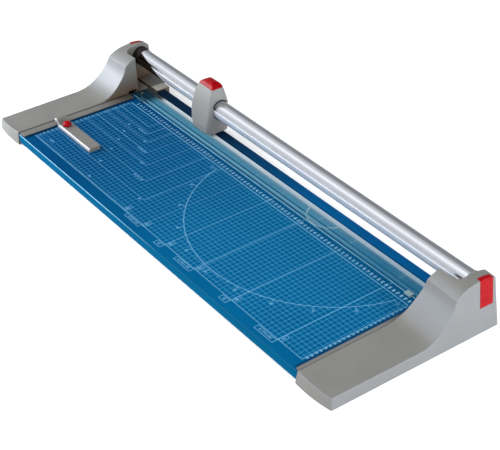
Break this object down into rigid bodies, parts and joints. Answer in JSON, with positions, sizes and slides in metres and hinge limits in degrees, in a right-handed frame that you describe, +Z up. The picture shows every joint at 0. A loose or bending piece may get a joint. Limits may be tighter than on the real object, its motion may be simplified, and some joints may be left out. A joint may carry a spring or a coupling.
{
  "type": "rolling paper trimmer",
  "caption": "Rolling paper trimmer: printed table between sculpted end casings, a round guide tube carrying a sliding rotary-blade head, a clear clamp strip and a sliding backstop.",
  "frame": {"origin": "centre of the overall footprint, on the floor the feet stand on", "axes": "+X along the cut, to the user's right; +Y away from the user; +Z up"},
  "size_m": [1.1266, 0.3776, 0.1392],
  "materials": {
    "table_blue": "satin blue enamel with a printed pale grid",
    "bar_steel": "ground steel",
    "screw_steel": "zinc plated",
    "tube_aluminium": "polished, drawn lengthways",
    "plug_black": "moulded",
    "buffer_black": "matt",
    "casing_grey": "fine-textured warm grey",
    "base_grey": "fine-textured dark grey",
    "foot_rubber": "matt",
    "cover_red": "glossy red",
    "fence_grey": "satin anodised",
    "pin_steel": "plain steel",
    "washer_steel": "spring steel",
    "clamp_clear": "clear, polished",
    "clip_pale": "pale grey",
    "head_grey": "fine-textured warm grey",
    "bush_black": "slick moulded",
    "blade_steel": "ground and honed",
    "hub_black": "moulded",
    "roller_grey": "turned",
    "stop_grey": "satin light grey",
    "knob_red": "glossy red"
  },
  "bodies": {
    "base": {"table_plate": "table_blue", "table_front_lip": "table_blue", "slot_rail": "table_blue", "cutting_bar": "bar_steel", "cutting_bar_screws": "screw_steel", "guide_tube": "tube_aluminium", "tube_end_plugs": "plug_black", "tube_fixing_screws": "screw_steel", "tube_end_buffers": "buffer_black", "left_casing": "casing_grey", "right_casing": "casing_grey", "left_base_cover": "base_grey", "right_base_cover": "base_grey", "base_cover_screws": "screw_steel", "rubber_feet": "foot_rubber", "left_screw_cover": "cover_red", "right_screw_cover": "cover_red", "left_fence": "fence_grey", "right_fence": "fence_grey", "table_screws": "screw_steel", "clamp_guide_pins": "pin_steel", "clamp_spring_washers": "washer_steel"},
    "clamp": {"clamp_strip": "clamp_clear", "clamp_end_clips": "clip_pale"},
    "head": {"head_housing": "head_grey", "head_cap": "cover_red", "left_slide_bush": "bush_black", "right_slide_bush": "bush_black", "head_cap_screws": "screw_steel", "blade_axle": "pin_steel", "blade_spring_washer": "washer_steel", "roller_axles": "pin_steel"},
    "blade": {"blade_disc": "blade_steel", "blade_hub": "hub_black"},
    "left_roller": {"left_press_roller": "roller_grey"},
    "right_roller": {"right_press_roller": "roller_grey"},
    "backstop": {"backstop_bar": "stop_grey", "backstop_shoe": "pin_steel"},
    "knob": {"backstop_knob": "knob_red", "backstop_stud": "screw_steel"}
  },
  "joints": [
    {"name": "head_slide", "type": "slide", "parent": "base", "child": "head", "axis": [1, 0, 0], "range_m": [-0.2245, 0.734]},
    {"name": "blade_spin", "type": "hinge", "parent": "head", "child": "blade", "pos_m": [-0.248, 0.14495, 0.0415], "axis": [0, 1, 0], "continuous": true},
    {"name": "left_roller_spin", "type": "hinge", "parent": "head", "child": "left_roller", "pos_m": [-0.264, 0.13135, 0.0358], "axis": [0, 1, 0], "continuous": true},
    {"name": "right_roller_spin", "type": "hinge", "parent": "head", "child": "right_roller", "pos_m": [-0.232, 0.13135, 0.0358], "axis": [0, 1, 0], "continuous": true},
    {"name": "clamp_press", "type": "slide", "parent": "base", "child": "clamp", "axis": [0, 0, 1], "range_m": [-0.0009, 0], "stiffness_N_per_m": 400, "springref_m": 0.006, "deforming": ["clamp_spring_washers"]},
    {"name": "backstop_slide", "type": "slide", "parent": "base", "child": "backstop", "axis": [0, 1, 0], "range_m": [-0.074, 0.168]},
    {"name": "knob_turn", "type": "hinge", "parent": "backstop", "child": "knob", "pos_m": [-0.4255, -0.09325, 0.04], "axis": [0, 0, 1], "range_deg": [0, 180]}
  ],
  "couplings": [
    {"joint": "blade_spin", "follows": "head_slide", "rad_per_m": 55.556},
    {"joint": "left_roller_spin", "follows": "head_slide", "rad_per_m": 181.82},
    {"joint": "right_roller_spin", "follows": "head_slide", "rad_per_m": 181.82}
  ]
}
